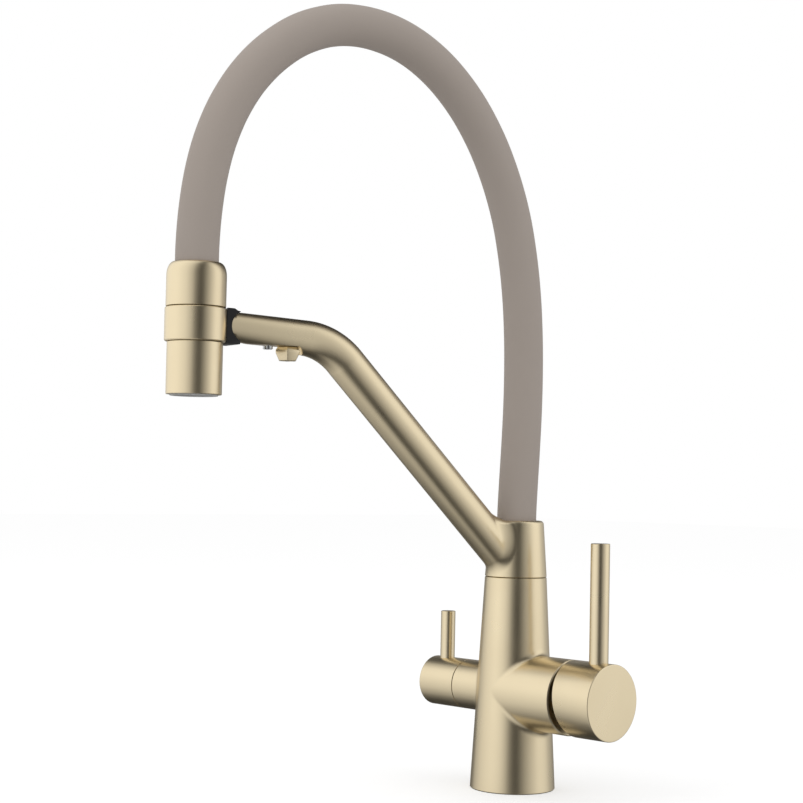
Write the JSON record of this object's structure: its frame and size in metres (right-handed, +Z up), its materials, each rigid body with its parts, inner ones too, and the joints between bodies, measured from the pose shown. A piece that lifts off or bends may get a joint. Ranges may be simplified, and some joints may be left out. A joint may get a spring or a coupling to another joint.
{
  "type": "kitchen tap",
  "caption": "Deck mounted kitchen tap with a lever mixer, a filtered water valve, a swivelling spout and a pull-off spray head on a silicone hose.",
  "frame": {"origin": "centre of the underside of the base, on the worktop", "axes": "+Z up along the body; +X towards the mixer handle, -X towards the filter handle; -Y is the front, over the sink"},
  "size_m": [0.1411, 0.2554, 0.4498],
  "materials": {
    "champagne_brass": "brushed champagne gold plating",
    "brass": "machined",
    "steel": "satin",
    "magnet": "nickel plated",
    "black_plastic": "fine matt",
    "grey_plastic": "matt",
    "white_plastic": "moulded",
    "ceramic": "lapped ceramic",
    "seal_rubber": "matt",
    "taupe_silicone": "matt silicone"
  },
  "bodies": {
    "tap": {"tap_body": "champagne_brass", "base_gasket": "seal_rubber", "swivel_spigot": "brass", "spigot_o_ring_lower": "seal_rubber", "spigot_o_ring_upper": "seal_rubber", "cartridge_base_seal": "seal_rubber", "cartridge_base": "white_plastic", "cartridge_shell": "white_plastic", "cartridge_fixed_disc": "ceramic", "cartridge_nut": "brass", "filter_valve_seal": "seal_rubber", "filter_valve_body": "brass", "filter_fixed_disc": "ceramic"},
    "spout": {"spout_arm": "champagne_brass", "swivel_washer": "black_plastic", "swivel_retaining_ring": "steel", "hose_tail_fitting": "brass", "hose_tail_o_ring": "seal_rubber", "filter_outlet_nozzle": "champagne_brass", "filter_outlet_insert": "grey_plastic", "dock_block": "black_plastic", "dock_magnet": "magnet", "dock_screw": "steel", "spray_hose": "taupe_silicone"},
    "spray_head": {"head_cap": "champagne_brass", "head_ring": "champagne_brass", "spray_core": "black_plastic", "head_magnet": "magnet", "head_washer": "seal_rubber", "hose_head_fitting": "brass", "non_return_valve": "white_plastic", "barrel_o_ring": "seal_rubber"},
    "spray_barrel_body": {"spray_barrel": "champagne_brass", "spray_face": "grey_plastic", "aerator_insert": "white_plastic"},
    "mixer_rotor": {"cartridge_rotor": "grey_plastic", "cartridge_pivot_pin": "steel"},
    "mixer_handle": {"cartridge_spindle": "steel", "mixer_knob": "champagne_brass", "mixer_lever_pin": "champagne_brass", "mixer_grub_screw": "steel"},
    "mixer_disc": {"cartridge_moving_disc": "ceramic"},
    "filter_handle": {"filter_moving_disc": "ceramic", "filter_spindle": "brass", "filter_knob": "champagne_brass", "filter_lever_pin": "champagne_brass", "filter_grub_screw": "steel"}
  },
  "joints": [
    {"name": "spout_swivel", "type": "hinge", "parent": "tap", "child": "spout", "pos_m": [0, 0, 0.14], "axis": [0, 0, 1], "continuous": true},
    {"name": "spray_undock", "type": "slide", "parent": "spout", "child": "spray_head", "axis": [-0.1736, -0.9848, 0], "range_m": [0, 0.035], "deforming": ["spray_hose"]},
    {"name": "spray_mode", "type": "hinge", "parent": "spray_head", "child": "spray_barrel_body", "pos_m": [-0.03768, -0.2137, 0.25215], "axis": [0, 0, 1], "range_deg": [0, 60]},
    {"name": "mixer_temperature", "type": "hinge", "parent": "tap", "child": "mixer_rotor", "pos_m": [0.033, 0, 0.0576], "axis": [1, 0, 0], "range_deg": [-45, 45]},
    {"name": "mixer_flow", "type": "hinge", "parent": "mixer_rotor", "child": "mixer_handle", "pos_m": [0.033, 0, 0.0576], "axis": [0, 1, 0], "range_deg": [0, 20]},
    {"name": "mixer_disc_slide", "type": "slide", "parent": "mixer_rotor", "child": "mixer_disc", "axis": [0, 0, 1], "range_m": [0, 0.0047]},
    {"name": "filter_valve", "type": "hinge", "parent": "tap", "child": "filter_handle", "pos_m": [-0.04, 0, 0.0576], "axis": [1, 0, 0], "range_deg": [0, 90]}
  ],
  "couplings": [
    {"joint": "mixer_disc_slide", "follows": "mixer_flow", "m_per_rad": 0.0131}
  ]
}
